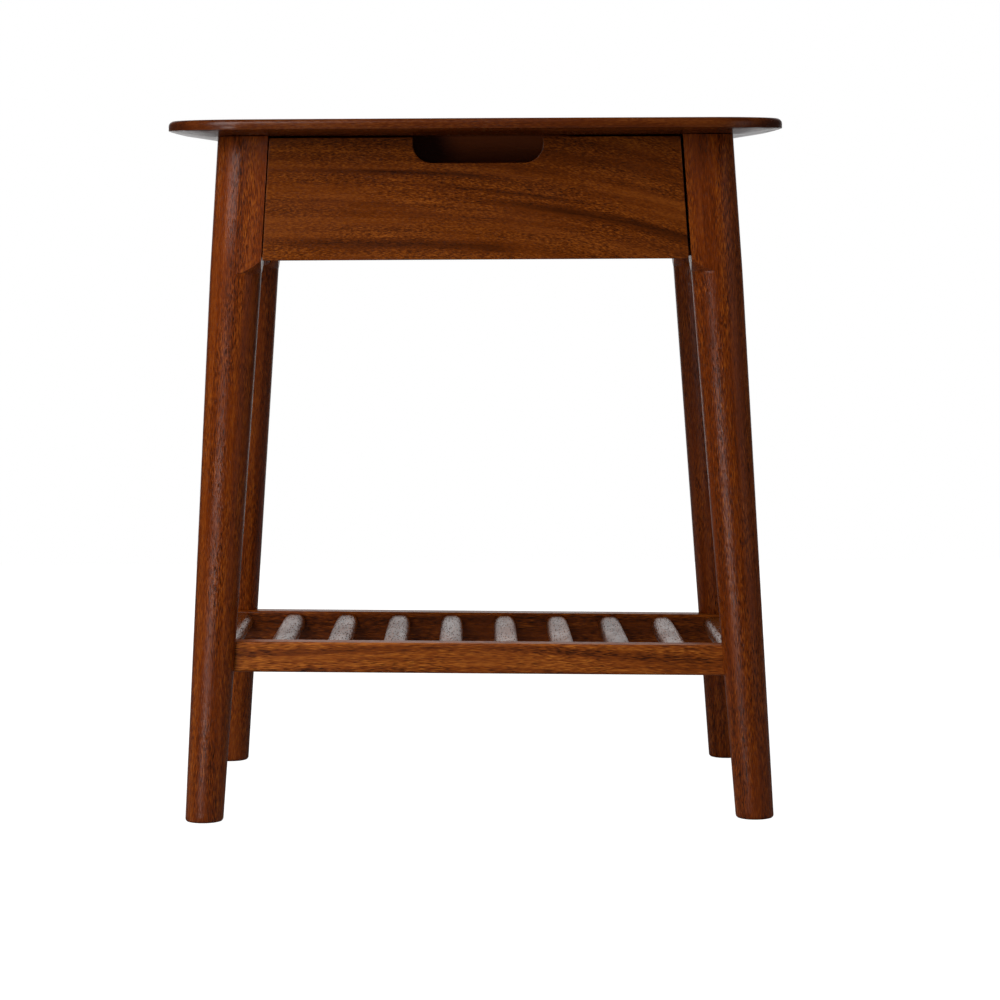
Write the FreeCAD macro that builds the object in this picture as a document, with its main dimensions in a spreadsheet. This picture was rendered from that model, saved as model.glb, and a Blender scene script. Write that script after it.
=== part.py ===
import FreeCAD, Part
import os
import Sketcher

# Side table with one drawer, splayed turned legs and a slatted lower shelf.
# Millimetres. X runs left to right, -Y is the front, +Z is up, and the origin
# is on the floor under the middle of the table.

SIZES = {
    # whole table
    "height": 560.0,
    "top_thickness": 13.0,
    "top_corner_x": 245.6,
    "top_corner_y": 166.5,
    "top_front_bow": 8.5,
    "top_side_bow": 3.5,
    "top_corner_radius": 66.0,
    "top_edge_radius": 4.5,
    "top_bevel_width": 32.0,
    "top_bevel_height": 5.0,
    # legs: the axis moves inwards by a slope for each millimetre of height
    "foot_x": 221.0,
    "foot_y": 167.7,
    "side_slope": 0.0635,
    "front_slope": 0.083,
    "foot_radius": 15.3,
    "foot_round": 2.5,
    "neck_level": 438.0,
    "shoulder_level": 448.5,
    "block_half": 20.7,
    "block_corner": 29.6,
    # aprons
    "apron_low": 449.5,
    "apron_inner": 4.0,
    "apron_thickness": 18.0,
    "tenon_thickness": 8.0,
    "tenon_length": 12.0,
    "tenon_low": 458.0,
    "tenon_high": 536.0,
    # hidden rails round the drawer
    "tie_low": 523.6,
    "tie_front": 98.0,
    "tie_depth": 20.0,
    "tie_housing": 6.0,
    "bearer_low": 450.0,
    "bearer_height": 14.0,
    "bearer_front": 127.0,
    "bearer_depth": 22.0,
    "bearer_tenon": 8.0,
    "runner_inner": 146.0,
    "runner_rear": 110.0,
    "guide_inner": 160.6,
    "guide_height": 12.0,
    "kicker_inner": 142.0,
    "kicker_low": 523.6,
    "kicker_height": 9.4,
    "stop_front": 95.4,
    "stop_depth": 12.0,
    "stop_height": 14.0,
    # drawer
    "front_low": 448.0,
    "front_high": 545.4,
    "front_thickness": 18.0,
    "gap_left": 1.0,
    "gap_right": 2.2,
    "slot_centre": 1.7,
    "slot_width": 104.0,
    "slot_depth": 20.4,
    "slot_radius": 15.5,
    "box_half": 160.0,
    "box_low": 464.3,
    "box_high": 522.0,
    "box_rear": 95.0,
    "side_thickness": 12.0,
    "tail_tip_y": 138.5,
    "tail_root_y": 118.0,
    "tail_tip_half": 7.6,
    "tail_root_half": 4.2,
    "back_front": 80.0,
    "back_thickness": 12.0,
    "back_housing": 4.0,
    "back_high": 519.0,
    "bottom_low": 470.0,
    "bottom_thickness": 5.0,
    "bottom_groove": 5.0,
    "bottom_front": 137.0,
    "bottom_rear": 94.0,
    "catch_width": 14.0,
    "catch_thickness": 6.0,
    "catch_low": 492.0,
    "catch_high": 537.0,
    # shelf
    "rail_half_length": 214.5,
    "rail_thickness": 20.2,
    "front_rail_height": 24.4,
    "rear_rail_height": 27.0,
    "rail_edge_radius": 2.2,
    "rail_centre_y": 146.8,
    "front_rail_top": 140.4,
    "rear_rail_drop": 7.0,
    "shelf_tilt": 0.8,
    "slat_width": 19.4,
    "slat_height": 14.6,
    "slat_radius": 7.2,
    "slat_below_rail": 2.4,
    "slat_pitch": 46.2,
    "slat_housing": 3.2,
    # fixings
    "button_length": 28.0,
    "button_width": 22.0,
    "button_height": 11.0,
    "button_tongue": 6.0,
    "button_tongue_height": 5.0,
    "screw_radius": 1.8,
    "screw_head_radius": 3.8,
    "screw_head_height": 2.4,
    "screw_in_top": 8.0,
    "runner_screw_end": 193.0,
    "catch_screw_length": 16.0,
    "bottom_screw_length": 18.0,
}

SLAT_COUNT = 10
TAIL_COUNT = 3
RUNNER_SCREW_Y = (-85.0, 0.0, 85.0)
BOTTOM_SCREW_X = (-105.0, 0.0, 105.0)
TIE_SCREW_X = (-110.0, 110.0)
FOOT_ROUND_ANGLES = (0, 30, 60, 90)
SIDE_BUTTON_Y = (-25.0, 70.0)
REAR_BUTTON_X = (-90.0, 90.0)

X_AXIS = FreeCAD.Vector(1, 0, 0)
Y_AXIS = FreeCAD.Vector(0, 1, 0)
ORIGIN = FreeCAD.Vector(0, 0, 0)

doc = FreeCAD.newDocument("side_table")
nodes = {}


# ---------------------------------------------------------------- size sheet

def make_sheet():
    sheet = doc.addObject("Spreadsheet::Sheet", "Sizes")
    for row, (name, value) in enumerate(SIZES.items(), start=1):
        sheet.set(f"A{row}", name)
        sheet.set(f"B{row}", str(value))
        sheet.setAlias(f"B{row}", name)
    doc.recompute()


def size(name):
    return f"Sizes.{name}"


def minus(formula):
    return f"(-({formula}))"


UNDERSIDE = "(Sizes.height - Sizes.top_thickness)"
APRON_OUTER = "(Sizes.apron_thickness - Sizes.apron_inner)"
APRON_MIDDLE = "(Sizes.apron_thickness / 2 - Sizes.apron_inner)"


def axis_x(level):
    """Formula for a leg axis' distance from the middle plane at a level."""
    return f"(Sizes.foot_x - Sizes.side_slope * {level})"


def axis_y(level):
    """Formula for a leg axis' distance behind or before the middle at a level."""
    return f"(Sizes.foot_y - Sizes.front_slope * {level})"


# ------------------------------------------------------------- shape helpers

def bind(item, formulas):
    for path, formula in formulas.items():
        item.setExpression(path, formula)


def place(item, x, y, z):
    bind(item, {"Placement.Base.x": x, "Placement.Base.y": y, "Placement.Base.z": z})


def box(name, x, y, z):
    """Box between pairs of formulas (low, high) on each axis."""
    item = doc.addObject("Part::Box", name)
    bind(item, {
        "Length": f"{x[1]} - {x[0]}",
        "Width": f"{y[1]} - {y[0]}",
        "Height": f"{z[1]} - {z[0]}",
    })
    place(item, x[0], y[0], z[0])
    return item


def leaning_board(name, z, x_low, x_high, y_low, y_high):
    """Board whose rectangle slides from (x_low, y_low) at the bottom level to (x_high, y_high)."""
    item = doc.addObject("Part::Wedge", name)
    bind(item, {
        "Ymin": z[0],
        "Ymax": z[1],
        "Xmin": x_low[0],
        "Xmax": x_low[1],
        "X2min": x_high[0],
        "X2max": x_high[1],
        "Zmin": minus(y_low[1]),
        "Zmax": minus(y_low[0]),
        "Z2min": minus(y_high[1]),
        "Z2max": minus(y_high[0]),
    })
    item.Placement = FreeCAD.Placement(ORIGIN, FreeCAD.Rotation(X_AXIS, 90))
    return item


def cylinder(name, radius, height, x, y, z, direction=(0, 0, 1)):
    item = doc.addObject("Part::Cylinder", name)
    bind(item, {"Radius": radius, "Height": height})
    rotation = FreeCAD.Rotation(FreeCAD.Vector(0, 0, 1), FreeCAD.Vector(*direction))
    item.Placement = FreeCAD.Placement(ORIGIN, rotation)
    place(item, x, y, z)
    return item


def fuse(name, *items):
    joined = doc.addObject("Part::MultiFuse", name)
    joined.Shapes = list(items)
    return joined


def common(name, *items):
    overlap = doc.addObject("Part::MultiCommon", name)
    overlap.Shapes = list(items)
    return overlap


def carve(name, base, *tools):
    """Cut each tool from the base in turn."""
    for index, tool in enumerate(tools, start=1):
        cut = doc.addObject("Part::Cut", f"{name}_cut{index}")
        cut.Base = base
        cut.Tool = tool
        base = cut
    return base


def group(name, items):
    bundle = doc.addObject("Part::Compound", name)
    bundle.Links = list(items)
    return bundle


def mirrored(name, source, normal):
    twin = doc.addObject("Part::Mirroring", name)
    twin.Source = source
    twin.Base = ORIGIN
    twin.Normal = normal
    return twin


def keep(label, item):
    """Name an object as a finished piece."""
    item.Label = label
    nodes[label] = item
    return item


def origin_plane(body, role):
    return next(item for item in body.Origin.OriginFeatures if item.Role == role)


def body_sketch(body, role):
    sketch = body.newObject("Sketcher::SketchObject", f"{body.Name}_sketch")
    sketch.AttachmentSupport = (origin_plane(body, role), "")
    sketch.MapMode = "FlatFace"
    return sketch


def arc_between(start, end, radius):
    """Arc of a radius from start to end, bulging to the right of that direction."""
    chord = end - start
    outward = FreeCAD.Vector(chord.y, -chord.x, 0)
    outward.normalize()
    half = chord.Length / 2
    reach = radius - max(radius ** 2 - half ** 2, 0) ** 0.5
    return Part.Arc(start, (start + end) / 2 + outward * reach, end)


def closed_outline(sketch, x_name, y_name, corners, arcs=None):
    """Outline through corners given as multiples of two sheet sizes.

    arcs maps a segment's number to (radius in mm, radius formula) where that
    segment is an arc.
    """
    arcs = arcs or {}
    points = [FreeCAD.Vector(kx * SIZES[x_name], ky * SIZES[y_name], 0) for kx, ky in corners]
    count = len(points)
    for index, start in enumerate(points):
        end = points[(index + 1) % count]
        if index in arcs:
            sketch.addGeometry(arc_between(start, end, arcs[index][0]))
        else:
            sketch.addGeometry(Part.LineSegment(start, end))
    for index in range(count):
        following = (index + 1) % count
        sketch.addConstraint(Sketcher.Constraint("Coincident", index, 2, following, 1))
    for index, (kx, ky) in enumerate(corners):
        for kind, name, factor in (("DistanceX", x_name, kx), ("DistanceY", y_name, ky)):
            value = factor * SIZES[name]
            number = sketch.addConstraint(Sketcher.Constraint(kind, -1, 1, index, 1, value))
            sketch.setExpression(f"Constraints[{number}]", f"{factor} * {size(name)}")
    for index, (radius, formula) in arcs.items():
        number = sketch.addConstraint(Sketcher.Constraint("Radius", index, radius))
        sketch.setExpression(f"Constraints[{number}]", formula)


RECTANGLE = [(-0.5, -0.5), (0.5, -0.5), (0.5, 0.5), (-0.5, 0.5)]


def edges_where(shape, test):
    return [f"Edge{i}" for i, edge in enumerate(shape.Edges, start=1) if test(edge)]


def soften(body, feature, kind, size_name, test):
    """Fillet or chamfer the edges of a body's feature that pass a test."""
    doc.recompute()
    edges = edges_where(feature.Shape, test)
    blend = body.newObject(f"PartDesign::{kind}", f"{body.Name}_{size_name}")
    blend.Base = (feature, edges)
    bind(blend, {"Radius" if kind == "Fillet" else "Size": size(size_name)})
    body.Tip = blend
    return blend


def flat_at(edge, level):
    bounds = edge.BoundBox
    return abs(bounds.ZMin - level) < 0.01 and abs(bounds.ZMax - level) < 0.01


def lies_along(edge, axis):
    """True for a straight edge parallel to an axis."""
    start, end = edge.Vertexes[0].Point, edge.Vertexes[-1].Point
    run = end - start
    return run.Length > 1 and abs(abs(run.dot(axis)) - run.Length) < 0.001


# ----------------------------------------------------------------- table top

def bow_radius(half_chord, rise):
    return (SIZES[half_chord] ** 2 + SIZES[rise] ** 2) / (2 * SIZES[rise])


def bow_formula(half_chord, rise):
    chord, bow = size(half_chord), size(rise)
    return f"({chord} * {chord} + {bow} * {bow}) / (2 * {bow})"


def make_top_blank():
    """Soft rectangle with bowed sides, rounded corners and a thin bevelled rim."""
    body = doc.addObject("PartDesign::Body", "top_blank")
    sketch = body_sketch(body, "XY_Plane")
    front = (bow_radius("top_corner_x", "top_front_bow"), bow_formula("top_corner_x", "top_front_bow"))
    side = (bow_radius("top_corner_y", "top_side_bow"), bow_formula("top_corner_y", "top_side_bow"))
    corners = [(-1, -1), (1, -1), (1, 1), (-1, 1)]
    closed_outline(sketch, "top_corner_x", "top_corner_y", corners, {0: front, 1: side, 2: front, 3: side})
    pad = body.newObject("PartDesign::Pad", "top_pad")
    pad.Profile = sketch
    bind(pad, {"Length": size("top_thickness")})
    upright = FreeCAD.Vector(0, 0, 1)
    rounded = soften(body, pad, "Fillet", "top_corner_radius", lambda edge: lies_along(edge, upright))
    bevel = soften(body, rounded, "Chamfer", "top_bevel_width", lambda edge: flat_at(edge, 0))
    bevel.ChamferType = "Two distances"
    bevel.FlipDirection = True
    bind(bevel, {"Size2": size("top_bevel_height")})
    top = SIZES["top_thickness"]
    soften(body, bevel, "Fillet", "top_edge_radius", lambda edge: flat_at(edge, top))
    place(body, "0", "0", UNDERSIDE)
    return body


# ---------------------------------------------------------------------- legs

def leg_circle(name, level, radius, depth_sign):
    ring = doc.addObject("Part::Circle", name)
    bind(ring, {"Radius": radius})
    place(ring, minus(axis_x(level)), f"{depth_sign} * {axis_y(level)}", level)
    return ring


def make_leg_blank(name, depth_sign):
    """Left leg: a turned taper that flares into a block with one rounded corner."""
    stations = [
        (f"(Sizes.foot_round * (1 - cos({angle} deg)))", f"Sizes.foot_radius - Sizes.foot_round * (1 - sin({angle} deg))")
        for angle in FOOT_ROUND_ANGLES
    ]
    stations += [
        (size("neck_level"), size("block_half")),
        (size("shoulder_level"), size("block_corner")),
        (UNDERSIDE, size("block_corner")),
    ]
    rings = [
        leg_circle(f"{name}_ring{index}", level, radius, depth_sign)
        for index, (level, radius) in enumerate(stations)
    ]
    turned = doc.addObject("Part::Loft", f"{name}_turned")
    turned.Sections = rings
    turned.Solid = True
    turned.Ruled = True

    section = doc.addObject("Sketcher::SketchObject", f"{name}_section")
    quarter = (SIZES["block_half"], size("block_half"))
    corners = [(-1, 0), (0, -1), (1, -1), (1, 1), (-1, 1)]
    closed_outline(section, "block_half", "block_half", corners, {0: quarter})
    place(section, minus(size("foot_x")), minus(size("foot_y")), "0")
    block = doc.addObject("Part::Extrusion", f"{name}_block")
    block.Base = section
    block.DirMode = "Custom"
    block.Dir = FreeCAD.Vector(SIZES["side_slope"], SIZES["front_slope"], 1)
    slopes = "(1 + Sizes.side_slope ^ 2 + Sizes.front_slope ^ 2)"
    bind(block, {"LengthFwd": f"{UNDERSIDE} * sqrt{slopes}"})
    block.Solid = True
    if depth_sign > 0:
        block = mirrored(f"{name}_block_rear", block, Y_AXIS)
    return common(f"{name}_blank", turned, block)


# -------------------------------------------------------------------- aprons

def past_axis(axis, level, offset):
    """Formula for a distance from the middle plane: the leg axis there plus an offset."""
    return f"({axis(level)} + {offset})"


def both_ways(formula):
    return (minus(formula), formula)


def make_apron_parts(name, along, across, legs):
    """Board between two legs and its tenons, leaning with the legs, on the + side of `across`."""
    level_pairs = ((size("apron_low"), UNDERSIDE), (size("tenon_low"), size("tenon_high")))
    half_tenon = "Sizes.tenon_thickness / 2"
    offsets = (
        ("-Sizes.apron_inner", APRON_OUTER),
        (f"({APRON_MIDDLE} - {half_tenon})", f"({APRON_MIDDLE} + {half_tenon})"),
    )
    reaches = ("0", "(Sizes.tenon_length - Sizes.block_half)")
    pieces = []
    for kind, levels, (inner, outer), reach in zip(("board", "tenon"), level_pairs, offsets, reaches):
        lengths = [both_ways(past_axis(along, level, reach)) for level in levels]
        depths = [(past_axis(across, level, inner), past_axis(across, level, outer)) for level in levels]
        if across is axis_x:
            depths = [(minus(outer), minus(inner)) for inner, outer in depths]
            pieces.append(leaning_board(f"{name}_{kind}", levels, *depths, *lengths))
        else:
            pieces.append(leaning_board(f"{name}_{kind}", levels, *lengths, *depths))
    board, tenon = pieces
    return fuse(f"{name}_whole", carve(f"{name}_shoulder", board, *legs), tenon), tenon


# ------------------------------------------------------- hidden drawer frame

def cross_rail(name, low, high, end_offset, front, depth):
    """Level board across the table, its ends leaning with the legs."""
    spans = [both_ways(past_axis(axis_x, level, end_offset)) for level in (low, high)]
    run = (minus(front), f"({depth} - {front})")
    return leaning_board(name, (low, high), *spans, run, run)


def scribed_strip(name, inner, y, z, *neighbours):
    """Left strip from an inner face out to the side apron, scribed to its neighbours."""
    strip = box(name, (minus(past_axis(axis_x, z[0], APRON_MIDDLE)), minus(inner)), y, z)
    return carve(f"{name}_scribed", strip, *neighbours)


# -------------------------------------------------------------------- screws

def screw(name, x, y, z, length, direction):
    """Pan-head screw: its shank starts at the point and runs along the direction."""
    shank = cylinder(f"{name}_shank", size("screw_radius"), length, x, y, z, direction)
    backwards = tuple(-part for part in direction)
    head = cylinder(f"{name}_head", size("screw_head_radius"), size("screw_head_height"), x, y, z, backwards)
    return fuse(name, shank, head)


# ---------------------------------------------------------- table-top fixing

def make_button(name, centre, across, apron):
    """Wooden button against an apron: returns it, its tongue and its screw."""
    low = f"({UNDERSIDE} - Sizes.button_height)"
    face = past_axis(across, UNDERSIDE, "-Sizes.apron_inner")
    free_end = f"({face} - Sizes.button_width)"
    along = (f"({centre} - Sizes.button_length / 2)", f"({centre} + Sizes.button_length / 2)")
    middle = f"({face} - Sizes.button_width / 2)"
    into_apron = f"({face} + Sizes.button_tongue)"
    levels = ((low, UNDERSIDE), (low, f"({low} + Sizes.button_tongue_height)"))
    length = "(Sizes.button_height + Sizes.screw_in_top)"
    if across is axis_x:
        run = (minus(into_apron), minus(free_end))
        block = box(f"{name}_block", run, along, levels[0])
        tongue = box(f"{name}_tongue", run, along, levels[1])
        fixing = screw(f"{name}_screw", minus(middle), str(centre), low, length, (0, 0, 1))
    else:
        run = (free_end, into_apron)
        block = box(f"{name}_block", along, run, levels[0])
        tongue = box(f"{name}_tongue", along, run, levels[1])
        fixing = screw(f"{name}_screw", str(centre), middle, low, length, (0, 0, 1))
    whole = fuse(f"{name}_whole", carve(f"{name}_fit", block, apron), tongue)
    return carve(f"{name}_bored", whole, fixing), tongue, fixing


# --------------------------------------------------------------------- shelf

def make_rail(name, height, y, top):
    """Shelf rail with softened long edges, centred on a depth, its right end the lower one."""
    body = doc.addObject("PartDesign::Body", name)
    sketch = body_sketch(body, "YZ_Plane")
    closed_outline(sketch, "rail_thickness", height, RECTANGLE)
    pad = body.newObject("PartDesign::Pad", f"{name}_pad")
    pad.Profile = sketch
    bind(pad, {"Length": "2 * Sizes.rail_half_length"})
    soften(body, pad, "Fillet", "rail_edge_radius", lambda edge: lies_along(edge, X_AXIS))
    body.Placement = FreeCAD.Placement(ORIGIN, FreeCAD.Rotation(Y_AXIS, 1))
    bind(body, {"Placement.Rotation.Angle": f"{size('shelf_tilt')} * 1 deg"})
    rise = "Sizes.rail_half_length * sin(Sizes.shelf_tilt * 1 deg)"
    place(body, "-Sizes.rail_half_length", y, f"{top} - {size(height)} / 2 + {rise}")
    return body


def make_slat(number):
    """Rounded slat that falls from the front rail to the lower rear rail."""
    name = f"slat_{number:02d}"
    body = doc.addObject("PartDesign::Body", f"{name}_body")
    sketch = body_sketch(body, "XZ_Plane")
    closed_outline(sketch, "slat_width", "slat_height", RECTANGLE)
    inner_face = "(Sizes.rail_centre_y - Sizes.rail_thickness / 2)"
    slope = f"(Sizes.rear_rail_drop / (2 * {inner_face}))"
    end = f"({inner_face} + Sizes.slat_housing)"
    pad = body.newObject("PartDesign::Pad", f"{name}_pad")
    pad.Profile = sketch
    bind(pad, {"Length": f"2 * {end} * sqrt(1 + {slope} ^ 2)"})
    soften(body, pad, "Fillet", "slat_radius", lambda edge: lies_along(edge, Y_AXIS))
    middle = "(Sizes.front_rail_top - Sizes.rear_rail_drop / 2 - Sizes.slat_below_rail - Sizes.slat_height / 2)"
    body.Placement = FreeCAD.Placement(ORIGIN, FreeCAD.Rotation(FreeCAD.Vector(-1, 0, 0), 1))
    bind(body, {"Placement.Rotation.Angle": f"atan({slope})"})
    x = f"({number - (SLAT_COUNT + 1) / 2} * Sizes.slat_pitch)"
    fall = f"{x} * tan(Sizes.shelf_tilt * 1 deg)"
    place(body, x, end, f"{middle} - {slope} * {end} - {fall}")
    return keep(name, body)


def make_shelf():
    """Slats and the two rails that hold them; returns the rails before their housings."""
    slats = group("slat_set", [make_slat(number) for number in range(1, SLAT_COUNT + 1)])
    front = make_rail("front_rail", "front_rail_height", "-Sizes.rail_centre_y", size("front_rail_top"))
    rear = make_rail("rear_rail", "rear_rail_height", "Sizes.rail_centre_y",
                     "(Sizes.front_rail_top - Sizes.rear_rail_drop)")
    keep("front_shelf_rail", carve("front_shelf_rail", front, slats))
    keep("rear_shelf_rail", carve("rear_shelf_rail", rear, slats))
    return front, rear


# -------------------------------------------------------------------- drawer

def make_front_blank():
    levels = (size("front_low"), size("front_high"))
    spans, depths = [], []
    for level in levels:
        left = minus(past_axis(axis_x, level, "(-Sizes.block_half - Sizes.gap_left)"))
        right = past_axis(axis_x, level, "(-Sizes.block_half - Sizes.gap_right)")
        face = minus(past_axis(axis_y, level, "Sizes.block_half"))
        spans.append((left, right))
        depths.append((face, f"({face} + Sizes.front_thickness)"))
    return leaning_board("front_blank", levels, *spans, *depths)


def make_finger_slot():
    """Cutter for the scoop in the drawer front's top edge."""
    depth = ("-Sizes.foot_y", "-Sizes.tie_front")
    floor = "(Sizes.front_high - Sizes.slot_depth)"
    round_level = f"({floor} + Sizes.slot_radius)"
    narrow, wide = "(Sizes.slot_width / 2 - Sizes.slot_radius)", "Sizes.slot_width / 2"
    left, right = (f"(Sizes.slot_centre {sign} {narrow})" for sign in "-+")
    pieces = [
        box("slot_middle", (left, right), depth, (floor, UNDERSIDE)),
        box("slot_upper", (f"(Sizes.slot_centre - {wide})", f"(Sizes.slot_centre + {wide})"), depth,
            (round_level, UNDERSIDE)),
    ]
    length = "(Sizes.foot_y - Sizes.tie_front)"
    for side, x in (("left", left), ("right", right)):
        pieces.append(cylinder(f"slot_{side}", size("slot_radius"), length, x, depth[1], round_level, (0, -1, 0)))
    return fuse("finger_slot", *pieces)


def make_tail(number):
    """One dovetail of the left drawer side, growing towards the drawer front."""
    step = (number + 0.5) / TAIL_COUNT
    centre = f"(Sizes.box_low + {step} * (Sizes.box_high - Sizes.box_low))"
    tail = doc.addObject("Part::Wedge", f"tail_{number}")
    bind(tail, {
        "Ymin": size("tail_root_y"),
        "Ymax": size("tail_tip_y"),
        "Xmin": "-Sizes.box_half",
        "Xmax": "Sizes.side_thickness - Sizes.box_half",
        "X2min": "-Sizes.box_half",
        "X2max": "Sizes.side_thickness - Sizes.box_half",
        "Zmin": f"-{centre} - Sizes.tail_root_half",
        "Zmax": f"-{centre} + Sizes.tail_root_half",
        "Z2min": f"-{centre} - Sizes.tail_tip_half",
        "Z2max": f"-{centre} + Sizes.tail_tip_half",
    })
    tail.Placement = FreeCAD.Placement(ORIGIN, FreeCAD.Rotation(X_AXIS, 180))
    return tail


def make_drawer():
    front_blank = make_front_blank()
    levels = (size("box_low"), size("box_high"))
    inner_half = "(Sizes.box_half - Sizes.side_thickness)"
    bottom_top = "(Sizes.bottom_low + Sizes.bottom_thickness)"
    back_rear = "(Sizes.back_front + Sizes.back_thickness)"

    back = box("back_board", both_ways(f"({inner_half} + Sizes.back_housing)"),
               (size("back_front"), back_rear), (bottom_top, size("back_high")))
    bottom = box("bottom_board", both_ways(f"({inner_half} + Sizes.bottom_groove)"),
                 ("-Sizes.bottom_front", size("bottom_rear")), (size("bottom_low"), bottom_top))
    side = box("side_board", ("-Sizes.box_half", minus(inner_half)),
               ("-Sizes.tail_tip_y", size("box_rear")), levels)
    tails = [make_tail(number) for number in range(TAIL_COUNT)]
    tailed = fuse("side_tailed", carve("side_fit", side, front_blank), *tails)
    left = keep("drawer_left_side", carve("drawer_left_side", tailed, back, bottom))
    right = keep("drawer_right_side", mirrored("drawer_right_side", left, X_AXIS))
    keep("drawer_front", carve("drawer_front", front_blank, left, right, bottom, make_finger_slot()))

    middle = f"({back_rear} - Sizes.back_thickness / 2)"
    screws = group("bottom_screws", [
        screw(f"bottom_screw{index}", str(x), middle, size("bottom_low"), size("bottom_screw_length"), (0, 0, 1))
        for index, x in enumerate(BOTTOM_SCREW_X, start=1)
    ])
    catch_rear = f"({back_rear} + Sizes.catch_thickness)"
    catch_board = box("catch_board", both_ways("Sizes.catch_width / 2"),
                      (back_rear, catch_rear), (size("catch_low"), size("catch_high")))
    catch_screw = screw("catch_screw", "0", catch_rear, "(Sizes.catch_low + Sizes.catch_width)",
                        size("catch_screw_length"), (0, -1, 0))
    keep("drawer_back", carve("drawer_back", back, screws, catch_screw))
    keep("drawer_bottom", carve("drawer_bottom", bottom, screws))
    keep("drawer_catch", carve("drawer_catch", catch_board, catch_screw))
    keep("drawer_catch_screw", catch_screw)
    keep("drawer_bottom_screws", screws)


# --------------------------------------------------------------------- frame

def make_runner_screws():
    level = "(Sizes.bearer_low + Sizes.bearer_height / 2)"
    start = "(Sizes.runner_inner + Sizes.screw_head_height)"
    length = f"(Sizes.runner_screw_end - {start})"
    return group("left_runner_screws", [
        screw(f"runner_screw{index}", minus(start), str(y), level, length, (-1, 0, 0))
        for index, y in enumerate(RUNNER_SCREW_Y, start=1)
    ])


def make_frame():
    front_blank = make_leg_blank("front_left_leg", -1)
    rear_blank = make_leg_blank("rear_left_leg", 1)
    rear_right_blank = mirrored("rear_right_blank", rear_blank, X_AXIS)
    side_apron, side_tenon = make_apron_parts("side_apron", axis_y, axis_x, [front_blank, rear_blank])
    rear_apron, rear_tenon = make_apron_parts("rear_apron", axis_x, axis_y, [rear_blank, rear_right_blank])
    front_rail, rear_rail = make_shelf()

    bearer_top = "(Sizes.bearer_low + Sizes.bearer_height)"
    bearer = cross_rail("bearer", size("bearer_low"), bearer_top,
                        "(Sizes.bearer_tenon - Sizes.block_half)", size("bearer_front"), size("bearer_depth"))
    tie_blank = cross_rail("tie_blank", size("tie_low"), UNDERSIDE,
                           "(Sizes.tie_housing - Sizes.apron_inner)", size("tie_front"), size("tie_depth"))
    keep("lower_drawer_rail", bearer)

    front_leg = carve("front_mortised", front_blank, side_tenon, bearer)
    rear_leg = carve("rear_mortised", rear_blank, side_tenon, rear_tenon)
    for end, leg, rail in (("front", front_leg, front_rail), ("rear", rear_leg, rear_rail)):
        twin = mirrored(f"{end}_right_mortised", leg, X_AXIS)
        keep(f"{end}_left_leg", carve(f"{end}_left_leg", leg, rail))
        keep(f"{end}_right_leg", carve(f"{end}_right_leg", twin, rail))

    tie_level = size("tie_low")
    tie_length = f"({UNDERSIDE} - {tie_level} + Sizes.screw_in_top)"
    tie_middle = "(Sizes.tie_depth / 2 - Sizes.tie_front)"
    tie_screws = group("tie_screws", [
        screw(f"tie_screw{index}", str(x), tie_middle, tie_level, tie_length, (0, 0, 1))
        for index, x in enumerate(TIE_SCREW_X, start=1)
    ])
    keep("upper_drawer_rail", carve("upper_drawer_rail", tie_blank, tie_screws))

    left = [make_button(f"side_button{i}", y, axis_x, side_apron) for i, y in enumerate(SIDE_BUTTON_Y, start=1)]
    rear = [make_button(f"rear_button{i}", x, axis_y, rear_apron) for i, x in enumerate(REAR_BUTTON_X, start=1)]
    left_buttons = group("left_buttons", [button for button, _, _ in left])
    left_button_screws = group("left_button_screws", [fixing for _, _, fixing in left])
    right_buttons = mirrored("right_buttons", left_buttons, X_AXIS)
    right_button_screws = mirrored("right_button_screws", left_button_screws, X_AXIS)
    rear_button_screws = [fixing for _, _, fixing in rear]
    keep("tabletop_buttons", group("all_buttons", [left_buttons, right_buttons] + [button for button, _, _ in rear]))
    top_screws = group("top_screws", [tie_screws, left_button_screws, right_button_screws] + rear_button_screws)
    keep("tabletop_screws", top_screws)
    keep("tabletop", carve("tabletop", make_top_blank(), top_screws))

    runner_screws = make_runner_screws()
    left_tongues = [tongue for _, tongue, _ in left]
    left_apron = carve("left_apron", side_apron, tie_blank, runner_screws, *left_tongues)
    keep("left_side_apron", left_apron)
    keep("right_side_apron", mirrored("right_side_apron", left_apron, X_AXIS))
    keep("rear_apron", carve("rear_apron_fit", rear_apron, *[tongue for _, tongue, _ in rear]))
    twin_screws = mirrored("right_runner_screws", runner_screws, X_AXIS)
    keep("runner_screws", group("all_runner_screws", [runner_screws, twin_screws]))

    make_drawer_ways(side_apron, rear_blank, runner_screws, bearer_top)


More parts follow.
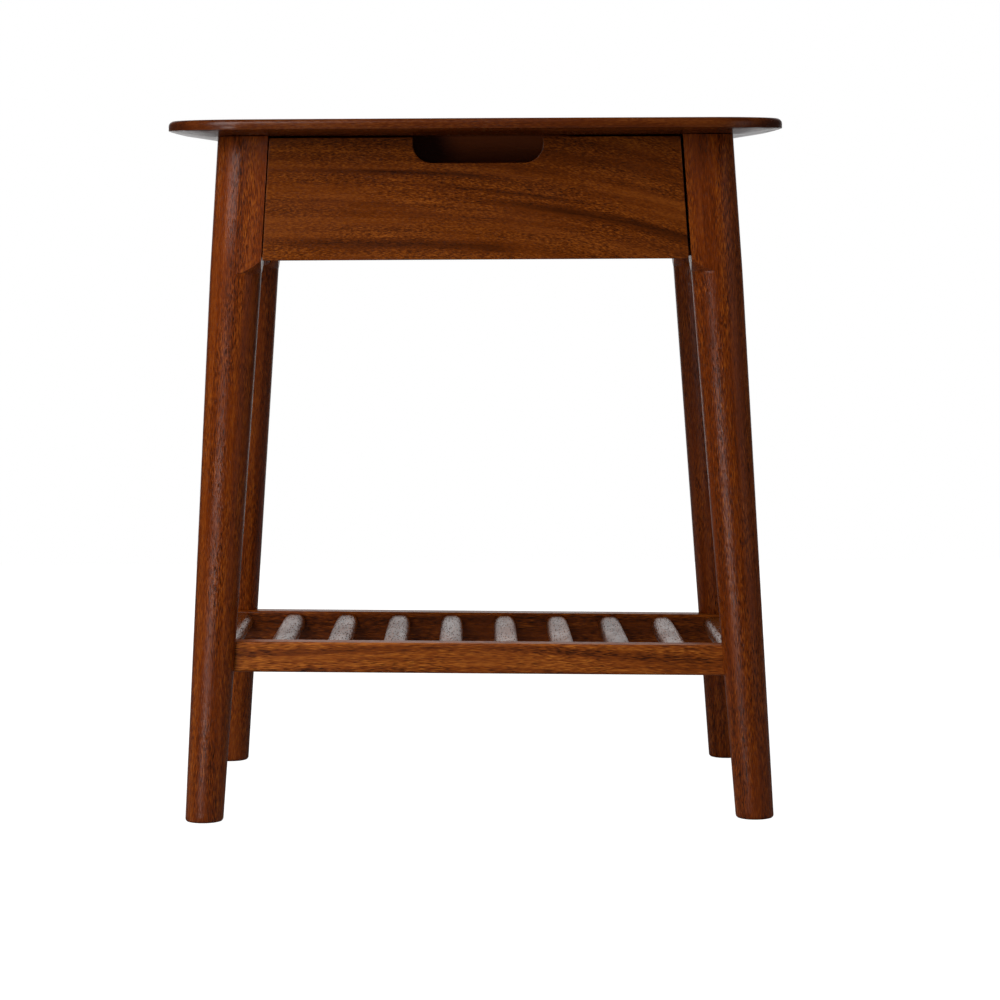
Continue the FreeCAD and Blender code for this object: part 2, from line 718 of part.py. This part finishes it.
def make_drawer_ways(side_apron, rear_leg, runner_screws, bearer_top):
    """Runners, guides, kickers and stops that hold the drawer in its path."""
    run = ("(Sizes.bearer_depth - Sizes.bearer_front)", size("runner_rear"))
    runner = scribed_strip("runner", size("runner_inner"), run, (size("bearer_low"), bearer_top),
                           side_apron, rear_leg, runner_screws)
    guide = scribed_strip("guide", size("guide_inner"), run,
                          (bearer_top, f"({bearer_top} + Sizes.guide_height)"), side_apron, rear_leg)
    kicker_run = ("(Sizes.tie_depth - Sizes.tie_front)", size("runner_rear"))
    kicker_top = "(Sizes.kicker_low + Sizes.kicker_height)"
    kicker = scribed_strip("kicker", size("kicker_inner"), kicker_run,
                           (size("kicker_low"), kicker_top), side_apron, rear_leg)
    for kind, strip in (("runner", runner), ("guide", guide), ("kicker", kicker)):
        keep(f"left_drawer_{kind}", strip)
        keep(f"right_drawer_{kind}", mirrored(f"right_{kind}", strip, X_AXIS))
    stop = box("left_stop", ("-Sizes.box_half", "(Sizes.side_thickness - Sizes.box_half)"),
               (size("stop_front"), "(Sizes.stop_front + Sizes.stop_depth)"),
               (bearer_top, f"({bearer_top} + Sizes.stop_height)"))
    keep("drawer_stops", group("stop_pair", [stop, mirrored("right_stop", stop, X_AXIS)]))


# -------------------------------------------------------------------- output

def check(item):
    failed = {"Invalid", "Error"} & set(item.State)
    if failed:
        raise RuntimeError(f"{item.Name} is {failed}")


def export_all():
    doc.recompute()
    for item in doc.Objects:
        check(item)
    os.makedirs("parts", exist_ok=True)
    for label, item in nodes.items():
        shape = item.Shape
        if shape.isNull() or not shape.isValid() or not shape.Solids:
            raise RuntimeError(f"{label} has no valid solid")
    for label, item in nodes.items():
        item.Shape.exportStep(f"parts/{label}.step")
        print(f"{label}: {len(item.Shape.Solids)} solids, {item.Shape.Volume:.0f} mm3")


make_sheet()
make_frame()
make_drawer()
export_all()
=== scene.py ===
import math

import bpy
from mathutils import Matrix, Vector


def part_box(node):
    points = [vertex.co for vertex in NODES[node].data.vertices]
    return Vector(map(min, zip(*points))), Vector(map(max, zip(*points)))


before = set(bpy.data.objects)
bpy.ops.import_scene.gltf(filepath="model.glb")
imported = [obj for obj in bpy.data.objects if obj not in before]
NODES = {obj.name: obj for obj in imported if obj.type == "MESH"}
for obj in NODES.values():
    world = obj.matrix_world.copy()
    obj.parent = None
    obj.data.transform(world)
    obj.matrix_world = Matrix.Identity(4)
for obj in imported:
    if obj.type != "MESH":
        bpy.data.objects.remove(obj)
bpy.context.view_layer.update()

# ------------------------------------------------------------------ helpers


class Graph:
    """Short calls for building one material's node tree."""

    def __init__(self, name):
        self.material = bpy.data.materials.new(name)
        self.material.use_nodes = True
        self.tree = self.material.node_tree
        self.tree.nodes.clear()

    def add(self, kind, inputs=None, **settings):
        node = self.tree.nodes.new(kind)
        for key, value in settings.items():
            setattr(node, key, value)
        for key, value in (inputs or {}).items():
            self.feed(node.inputs[key], value)
        return node

    def feed(self, socket, value):
        if isinstance(value, bpy.types.NodeSocket):
            self.tree.links.new(value, socket)
        else:
            socket.default_value = value

    def math(self, operation, first, second=0.0, clamp=False):
        node = self.add("ShaderNodeMath", {0: first, 1: second}, operation=operation, use_clamp=clamp)
        return node.outputs[0]

    def dot(self, vector, direction):
        node = self.add("ShaderNodeVectorMath", {0: vector, 1: direction}, operation="DOT_PRODUCT")
        return node.outputs["Value"]

    def join(self, x, y, z):
        return self.add("ShaderNodeCombineXYZ", {0: x, 1: y, 2: z}).outputs[0]

    def noise(self, vector, scale, detail=2.0, roughness=0.5, distortion=0.0):
        node = self.add("ShaderNodeTexNoise", {
            "Vector": vector, "Scale": scale, "Detail": detail,
            "Roughness": roughness, "Distortion": distortion})
        return node.outputs["Fac"]

    def ranged(self, value, low, high, to_low=0.0, to_high=1.0, smooth=True):
        node = self.add("ShaderNodeMapRange", {
            "Value": value, "From Min": low, "From Max": high,
            "To Min": to_low, "To Max": to_high})
        node.interpolation_type = "SMOOTHSTEP" if smooth else "LINEAR"
        node.clamp = True
        return node.outputs[0]

    def blend(self, factor, first, second, mode="MIX"):
        node = self.add("ShaderNodeMix", data_type="RGBA", blend_type=mode)
        self.feed(node.inputs["Factor"], factor)
        self.feed(node.inputs[6], first)
        self.feed(node.inputs[7], second)
        return node.outputs[2]


def colour(red, green, blue):
    """Scene-linear colour from 0 to 255 display values."""
    parts = []
    for value in (red, green, blue):
        part = value / 255
        parts.append(part / 12.92 if part <= 0.04045 else ((part + 0.055) / 1.055) ** 2.4)
    return (*parts, 1.0)


# ------------------------------------------------------------------ materials

def board_axes(grain):
    """Unit vectors along the grain and across it."""
    along = Vector(grain).normalized()
    helper = Vector((0, 0, 1)) if abs(along.z) < 0.8 else Vector((0, 1, 0))
    across = helper.cross(along).normalized()
    return along, across, along.cross(across)


SEED_ALONG, SEED_ACROSS, SEED_THROUGH = 0.37, 0.23, 0.11  # metres that one unit of seed moves the texture
DRIFT_SIZE = 0.020  # metres that the grain wanders
DRIFT_ALONG, DRIFT_ACROSS = 2.4, 7.0  # waves per metre of that wander
STREAK_FADE_IN, STREAK_FADE_OUT = 0.12, 0.04  # metres
STREAK_TONE = 0.50  # how much darker a full streak is, on the ramp from dark to light
FIBRE_TONE = 0.35
FLECK_TONE = 1.9
PORE_SHADE = 0.45  # a pore's colour as a part of the dark tone
RELIEF_DEPTH = 0.0003  # metres


def wood(name, grain, tones, seed, band=0.009, contrast=0.5, dash=0.0045, grit=0.00075, flecks=1.0,
         mottle=1.0, pores=0.42, relief=1.0, rough=0.27, gloss=1.34, warp=None, streaks=()):
    """Solid-textured timber whose bands, flecks and pores follow one direction.

    tones is (dark, middle, light). Lengths are in metres: band is the usual width of a colour stripe,
    dash the length of a fleck and grit its width. contrast is the strength of the stripes, flecks the
    amount of flecks and pores, mottle the colour of the flecks, pores the darkness of the pores and
    relief their depth. rough and gloss are the roughness and the index of refraction.
    warp, if given, turns (graph, x) into a shift of the stripes. Each of streaks is a smooth
    dark line: (level, half thickness, x where it begins, x where it ends, strength).
    """
    graph = Graph(name)
    place = graph.add("ShaderNodeTexCoord")
    position = place.outputs["Object"]
    along, across, third = board_axes(grain)
    raw = graph.dot(position, along)
    x = graph.math("ADD", raw, seed * SEED_ALONG)
    y = graph.math("ADD", graph.dot(position, across), seed * SEED_ACROSS)
    z = graph.math("ADD", graph.dot(position, third), seed * SEED_THROUGH)

    drift_place = graph.join(graph.math("MULTIPLY", x, DRIFT_ALONG), graph.math("MULTIPLY", y, DRIFT_ACROSS),
                             graph.math("MULTIPLY", z, DRIFT_ACROSS))
    drift = graph.math("SUBTRACT", graph.noise(drift_place, 1.0, 1.0), 0.5)
    y_grain = graph.math("ADD", y, graph.math("MULTIPLY", drift, DRIFT_SIZE))
    z_grain = graph.math("ADD", z, graph.math("MULTIPLY", drift, DRIFT_SIZE))
    if warp:
        z_grain = graph.math("ADD", z_grain, warp(graph, raw))

    calm = 0.0
    for level, half, begins, ends, strength in streaks:
        offset = graph.math("ABSOLUTE", graph.math("SUBTRACT", z_grain, level + seed * SEED_THROUGH))
        line = graph.ranged(offset, 0.0, half, strength, 0.0)
        fade = graph.math("MULTIPLY", graph.ranged(raw, begins, begins + STREAK_FADE_IN),
                          graph.ranged(raw, ends - STREAK_FADE_OUT, ends, 1.0, 0.0))
        calm = graph.math("MAXIMUM", graph.math("MULTIPLY", line, fade), calm)

    def stretched(long_size, cross_size):
        """Position measured in cells of these two sizes along and across the grain."""
        return graph.join(graph.math("DIVIDE", x, long_size), graph.math("DIVIDE", y_grain, cross_size),
                          graph.math("DIVIDE", z_grain, cross_size))

    broad = graph.ranged(graph.noise(stretched(1.20, band * 2.6), 1.0, 1.0), 0.30, 0.70)
    stripes = graph.ranged(graph.noise(stretched(1.00, band), 1.0, 1.4, 0.45), 0.30, 0.70)
    fibre = graph.noise(stretched(0.045, 0.0022), 1.0, 2.0, 0.6)
    fleck = graph.noise(stretched(dash, grit), 1.0, 1.0, 0.5, 0.30)
    patch = graph.ranged(graph.noise(stretched(0.085, 0.016), 1.0, 1.0), 0.32, 0.62, 0.40, 1.0)

    tone = graph.math("ADD", 0.5 - 0.5 * contrast, graph.math("MULTIPLY", stripes, 0.60 * contrast))
    tone = graph.math("ADD", tone, graph.math("MULTIPLY", broad, 0.40 * contrast))
    tone = graph.math("ADD", tone, graph.math("MULTIPLY", graph.math("SUBTRACT", fibre, 0.5), FIBRE_TONE))
    patch = graph.math("MULTIPLY", patch, graph.math("SUBTRACT", 1.0, calm))
    tone = graph.math("SUBTRACT", tone, graph.math("MULTIPLY", calm, STREAK_TONE))
    speckle = graph.math("MULTIPLY", graph.math("SUBTRACT", fleck, 0.5), patch)
    tone = graph.math("ADD", tone, graph.math("MULTIPLY", speckle, FLECK_TONE * flecks * mottle))
    ramp = graph.add("ShaderNodeValToRGB", {"Fac": tone})
    ramp.color_ramp.elements[0].position = 0.0
    ramp.color_ramp.elements[0].color = tones[0]
    ramp.color_ramp.elements[1].position = 1.0
    ramp.color_ramp.elements[1].color = tones[2]
    middle = ramp.color_ramp.elements.new(0.5)
    middle.color = tones[1]

    pore_cells = graph.add("ShaderNodeTexVoronoi", {
        "Vector": stretched(dash * 1.2, grit * 1.07), "Scale": 1.0, "Randomness": 1.0}, feature="F1")
    pore = graph.ranged(pore_cells.outputs["Distance"], 0.10, 0.34, 1.0, 0.0)
    pore = graph.math("MULTIPLY", graph.math("MULTIPLY", pore, patch), flecks, clamp=True)
    dark = graph.blend(graph.math("MULTIPLY", pore, pores), ramp.outputs["Color"],
                       tuple(part * PORE_SHADE for part in tones[0][:3]) + (1.0,))

    facing = graph.math("ABSOLUTE", graph.dot(place.outputs["Normal"], along))
    end_grain = graph.ranged(facing, 0.62, 0.95)
    ended = graph.blend(graph.math("MULTIPLY", end_grain, 0.5), dark, tones[0])

    polish = graph.noise(stretched(0.10, 0.020), 1.0, 2.0)
    roughness = graph.ranged(polish, 0.3, 0.7, rough - 0.04, rough + 0.06)
    roughness = graph.math("ADD", roughness, graph.math("MULTIPLY", pore, 0.20 * relief))
    roughness = graph.math("ADD", roughness, graph.math("MULTIPLY", end_grain, 0.15), clamp=True)

    film = graph.math("SUBTRACT", 0.5, graph.math("MULTIPLY", pore, 0.45))
    height = graph.math("SUBTRACT", graph.math("MULTIPLY", fleck, 0.6), graph.math("MULTIPLY", pore, 0.8))
    bump = graph.add("ShaderNodeBump", {"Height": height, "Strength": 0.6, "Distance": RELIEF_DEPTH * relief})
    shader = graph.add("ShaderNodeBsdfPrincipled", {
        "Base Color": ended, "Roughness": roughness, "Normal": bump.outputs[0], "IOR": gloss,
        "Specular IOR Level": film})
    output = graph.add("ShaderNodeOutputMaterial")
    graph.feed(output.inputs["Surface"], shader.outputs[0])
    return graph.material


# Dark lines in the drawer front: level, half thickness, x where it begins, x where it ends, strength.
FRONT_STREAKS = (
    (0.4985, 0.0070, -0.04, 0.20, 0.75),
    (0.5075, 0.0028, -0.08, 0.10, 0.45),
    (0.4600, 0.0070, -0.20, 0.05, 0.60),
    (0.5185, 0.0030, -0.18, 0.03, 0.60),
)
SWEEP_START = -0.06  # x where the stripes begin to bend
SWEEP_BEND = 0.66  # shift in metres for each square metre past it


def sweeping(graph, x):
    """Shift that bends the stripes of the drawer front down towards its right end."""
    past = graph.math("MAXIMUM", graph.math("ADD", x, -SWEEP_START), 0.0)
    return graph.math("MULTIPLY", graph.math("MULTIPLY", past, past), SWEEP_BEND)


# Dark, middle and light tone of each timber; the tones for the finger slot also carry painted light.
TOP_WOOD = (colour(44, 16, 3), colour(99, 42, 10), colour(141, 74, 26))
LEG_WOOD = (colour(46, 16, 3), colour(133, 56, 10), colour(188, 98, 28))
SLAT_WOOD = (colour(48, 19, 4), colour(114, 54, 14), colour(168, 94, 34))
FRONT_RAIL_WOOD = (colour(58, 22, 2), colour(158, 75, 17), colour(220, 126, 42))
REAR_RAIL_WOOD = (colour(56, 20, 2), colour(132, 59, 9), colour(190, 100, 26))
FRONT_WOOD = (colour(40, 14, 3), colour(117, 53, 9), colour(176, 94, 28))
APRON_WOOD = (colour(46, 18, 4), colour(116, 54, 13), colour(172, 96, 32))
# Upper drawer rail behind the finger slot: tones lifted and evened out as painted light, standing in for
# light that the slot's shade keeps off it.
SLOT_TONES_WITH_PAINTED_LIGHT = (colour(104, 44, 12), colour(122, 56, 16), colour(136, 66, 22))
BOX_WOOD = (colour(122, 82, 48), colour(168, 124, 80), colour(196, 154, 108))
INNER_WOOD = (colour(112, 78, 50), colour(156, 114, 76), colour(182, 142, 100))


def steel(name):
    graph = Graph(name)
    place = graph.add("ShaderNodeTexCoord").outputs["Object"]
    mottle = graph.noise(place, 900.0, 3.0)
    tint = graph.blend(graph.ranged(mottle, 0.35, 0.65), colour(168, 160, 138), colour(205, 198, 182))
    roughness = graph.ranged(mottle, 0.3, 0.7, 0.26, 0.42)
    bump = graph.add("ShaderNodeBump", {"Height": mottle, "Strength": 0.1, "Distance": 0.0001})
    shader = graph.add("ShaderNodeBsdfPrincipled", {
        "Base Color": tint, "Roughness": roughness, "Metallic": 1.0, "Normal": bump.outputs[0]})
    output = graph.add("ShaderNodeOutputMaterial")
    graph.feed(output.inputs["Surface"], shader.outputs[0])
    return graph.material


ALONG_X = (1, 0, 0)
ALONG_Y = (0, 1, 0)
BOARD_EDGE = 0.0006
VISIBLE_EDGE = 0.0008
SAME_POINT = 1e-6
SHARP_ANGLE = math.radians(28)


def finish_node(node, material, edge=BOARD_EDGE, even=True):
    """Give a CAD node its material, edges softened by edge metres, and smooth shading.

    even shades flat boards by the size of their faces; without it the round shapes of the CAD stay round.
    """
    item = NODES[node]
    item.data.materials.clear()
    item.data.materials.append(material)
    if edge:
        weld = item.modifiers.new("weld", "WELD")
        weld.merge_threshold = SAME_POINT
        bevel = item.modifiers.new("edge", "BEVEL")
        bevel.width = edge
        bevel.segments = 2
        bevel.limit_method = "ANGLE"
        bevel.angle_limit = SHARP_ANGLE
        bevel.harden_normals = not even
        if even:
            item.modifiers.new("even", "WEIGHTED_NORMAL").keep_sharp = True


# ------------------------------------------------------------------ the table

def leg_direction(node):
    """Direction of a leg's grain from its foot to its block, read from its own vertices."""
    vertices = [vertex.co for vertex in NODES[node].data.vertices]
    low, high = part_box(node)
    foot = [point for point in vertices if point.z < low.z + 0.001]
    head = [point for point in vertices if point.z > high.z - 0.001]
    foot_centre = sum(foot, Vector()) / len(foot)
    head_centre = sum(head, Vector()) / len(head)
    return head_centre - foot_centre


def dress_table():
    finish_node("tabletop", wood(
        "top_wood", ALONG_X, TOP_WOOD, 1.7, band=0.010, contrast=0.3, flecks=0.6, rough=0.20, gloss=1.42),
        edge=0.0004, even=False)
    for index, node in enumerate(["front_left_leg", "front_right_leg", "rear_left_leg", "rear_right_leg"]):
        finish_node(node, wood(
            f"{node}_wood", leg_direction(node), LEG_WOOD, 3.1 + index * 2.3, band=0.006, contrast=0.3,
            dash=0.0055, grit=0.00052, flecks=1.15, pores=0.85, relief=1.5, rough=0.25, gloss=1.35),
            edge=VISIBLE_EDGE, even=False)
    finish_node("drawer_front", wood(
        "front_wood", ALONG_X, FRONT_WOOD, 5.2, band=0.007, contrast=0.30, dash=0.0028, grit=0.00058,
        pores=0.65, rough=0.24, gloss=1.30, warp=sweeping, streaks=FRONT_STREAKS), edge=VISIBLE_EDGE)
    for index, node in enumerate(["left_side_apron", "right_side_apron"]):
        finish_node(node, wood(f"{node}_wood", ALONG_Y, APRON_WOOD, 6.5 + index))
    finish_node("rear_apron", wood("rear_apron_wood", ALONG_X, APRON_WOOD, 8.8))
    # The upper drawer rail seen through the finger slot gets the lifted, low-contrast painted-light tones.
    finish_node("upper_drawer_rail", wood(
        "upper_rail_painted_light_wood", ALONG_X, SLOT_TONES_WITH_PAINTED_LIGHT, 9.3, contrast=0.2, flecks=0.2), edge=0)
    finish_node("lower_drawer_rail", wood("lower_rail_wood", ALONG_X, APRON_WOOD, 10.3))
    finish_node("front_shelf_rail", wood(
        "front_rail_wood", ALONG_X, FRONT_RAIL_WOOD, 11.4, band=0.006, dash=0.008, grit=0.0006,
        flecks=1.1, pores=1.0, relief=1.5, rough=0.34))
    finish_node("rear_shelf_rail", wood(
        "rear_rail_wood", ALONG_X, REAR_RAIL_WOOD, 12.4, band=0.006, dash=0.006))
    for number in range(1, 11):
        node = f"slat_{number:02d}"
        finish_node(node, wood(
            f"{node}_wood", ALONG_Y, SLAT_WOOD, 13.0 + number * 0.7, contrast=0.4, dash=0.014, grit=0.0011,
            flecks=2.4, mottle=0.4, pores=0.4, relief=5.0, gloss=1.45), edge=0)
    dress_insides()


def dress_insides():
    """The drawer's box, the parts that carry it, the buttons and the screws."""
    box_parts = [("drawer_left_side", ALONG_Y), ("drawer_right_side", ALONG_Y), ("drawer_back", ALONG_X),
                 ("drawer_bottom", ALONG_X), ("drawer_catch", ALONG_X)]
    for index, (node, grain) in enumerate(box_parts):
        finish_node(node, wood(f"{node}_wood", grain, BOX_WOOD, 21.0 + index, flecks=0.3, rough=0.5),
                    edge=0 if node == "drawer_bottom" else BOARD_EDGE)
    for side in ("left", "right"):
        for index, kind in enumerate(["runner", "guide", "kicker"]):
            node = f"{side}_drawer_{kind}"
            finish_node(node, wood(f"{node}_wood", ALONG_Y, INNER_WOOD, 27.0 + index, flecks=0.3, rough=0.55),
                        edge=0 if kind == "runner" else BOARD_EDGE)
    for index, node in enumerate(["tabletop_buttons", "drawer_stops"]):
        finish_node(node, wood(f"{node}_wood", ALONG_X, INNER_WOOD, 31.0 + index, flecks=0.3, rough=0.55))
    plated = steel("plated_screw")
    for node in ("tabletop_screws", "runner_screws", "drawer_bottom_screws", "drawer_catch_screw"):
        finish_node(node, plated, edge=0.0003)


# ------------------------------------------------------------------ the stage

WHITE = (1, 1, 1, 1)
FLOOR_GREY = (0.3, 0.3, 0.3, 1)


def make_floor():
    """Floor that is white to the eye, and sends only a little light back up to the table."""
    reach = 2.0
    mesh = bpy.data.meshes.new("floor")
    corners = [(-reach, -reach, 0), (reach, -reach, 0), (reach, reach, 0), (-reach, reach, 0)]
    mesh.from_pydata(corners, [], [(0, 1, 2, 3)])
    floor = bpy.data.objects.new("floor", mesh)
    bpy.context.scene.collection.objects.link(floor)
    graph = Graph("floor_paint")
    seen = graph.add("ShaderNodeLightPath").outputs["Is Camera Ray"]
    shader = graph.add("ShaderNodeBsdfPrincipled", {
        "Base Color": FLOOR_GREY, "Roughness": 0.9, "Emission Color": WHITE, "Emission Strength": seen})
    output = graph.add("ShaderNodeOutputMaterial")
    graph.feed(output.inputs["Surface"], shader.outputs[0])
    mesh.materials.append(graph.material)


def area_light(name, location, target, width, height, watts, glossy=True):
    """Softbox that faces target; without glossy it lights the table but shows in no reflection."""
    data = bpy.data.lights.new(name, "AREA")
    data.shape = "RECTANGLE"
    data.size = width
    data.size_y = height
    data.energy = watts
    light = bpy.data.objects.new(name, data)
    light.location = location
    light.visible_glossy = glossy
    light.rotation_euler = (Vector(target) - Vector(location)).to_track_quat("-Z", "Y").to_euler()
    bpy.context.scene.collection.objects.link(light)


WALL_BEGINS, WALL_FULL = 0.89, 0.98  # how nearly a direction points to the rear
ROOM_LEVEL, WALL_LEVEL = 0.03, 0.75


def make_world():
    """Studio with a bright wall behind the table. It is dim elsewhere, and plain white to the eye."""
    world = bpy.data.worlds.new("studio")
    bpy.context.scene.world = world
    world.use_nodes = True
    tree = world.node_tree
    tree.nodes.clear()
    place = tree.nodes.new("ShaderNodeTexCoord")
    split = tree.nodes.new("ShaderNodeSeparateXYZ")
    spread = tree.nodes.new("ShaderNodeMapRange")
    spread.interpolation_type = "SMOOTHSTEP"
    for socket, value in (("From Min", WALL_BEGINS), ("From Max", WALL_FULL),
                          ("To Min", ROOM_LEVEL), ("To Max", WALL_LEVEL)):
        spread.inputs[socket].default_value = value
    path = tree.nodes.new("ShaderNodeLightPath")
    level = tree.nodes.new("ShaderNodeMath")
    level.operation = "MAXIMUM"
    background = tree.nodes.new("ShaderNodeBackground")
    output = tree.nodes.new("ShaderNodeOutputWorld")
    tree.links.new(place.outputs["Generated"], split.inputs[0])
    tree.links.new(split.outputs["Y"], spread.inputs["Value"])
    tree.links.new(path.outputs["Is Camera Ray"], level.inputs[0])
    tree.links.new(spread.outputs[0], level.inputs[1])
    tree.links.new(level.outputs[0], background.inputs["Strength"])
    tree.links.new(background.outputs[0], output.inputs["Surface"])
    background.inputs["Color"].default_value = WHITE


def make_lights():
    """Each light: name, place, target, width, height (metres) and watts."""
    area_light("key", (-0.80, -1.00, 1.38), (0, 0, 0.35), 0.9, 1.3, 13)
    area_light("low", (-0.90, -1.60, 0.25), (0, 0, 0.30), 0.5, 0.5, 3.8)
    area_light("fill", (1.9, -1.2, 0.8), (0, 0, 0.3), 1.0, 1.4, 1.9)
    area_light("overhead", (-0.2, -0.9, 2.0), (0, 0, 0.3), 1.2, 1.0, 4.0, glossy=False)
    area_light("right", (2.0, 0.1, 0.8), (0, 0, 0.3), 1.2, 1.4, 3.6, glossy=False)
    area_light("left", (-2.0, 0.1, 0.8), (0, 0, 0.3), 1.2, 1.4, 1.8, glossy=False)
    area_light("rear", (0.6, 1.7, 1.4), (0, 0, 0.3), 1.4, 1.2, 12, glossy=False)
    make_world()


# Camera: a long lens from just above the drawer, looking slightly down.
CAMERA_PLACE = Vector((-0.0035, -3.1097, 0.486))
CAMERA_PITCH = math.radians(4.4546)
CAMERA_YAW = math.radians(0.4128)
CAMERA_ROLL = math.radians(-0.3091)
CAMERA_LENS = 133.2


def make_camera():
    data = bpy.data.cameras.new("camera")
    data.lens = CAMERA_LENS
    data.sensor_width = 36.0
    camera = bpy.data.objects.new("camera", data)
    forward = Vector((math.sin(CAMERA_YAW) * math.cos(CAMERA_PITCH),
                      math.cos(CAMERA_YAW) * math.cos(CAMERA_PITCH), -math.sin(CAMERA_PITCH)))
    right = Vector((math.cos(CAMERA_YAW), -math.sin(CAMERA_YAW), 0))
    up = right.cross(forward)
    rolled_right = right * math.cos(CAMERA_ROLL) + up * math.sin(CAMERA_ROLL)
    rolled_up = up * math.cos(CAMERA_ROLL) - right * math.sin(CAMERA_ROLL)
    camera.matrix_world = Matrix((
        (rolled_right.x, rolled_up.x, -forward.x, CAMERA_PLACE.x),
        (rolled_right.y, rolled_up.y, -forward.y, CAMERA_PLACE.y),
        (rolled_right.z, rolled_up.z, -forward.z, CAMERA_PLACE.z),
        (0, 0, 0, 1),
    ))
    bpy.context.scene.collection.objects.link(camera)
    bpy.context.scene.camera = camera


dress_table()
make_floor()
make_lights()
make_camera()
bpy.context.scene.view_settings.view_transform = "Standard"
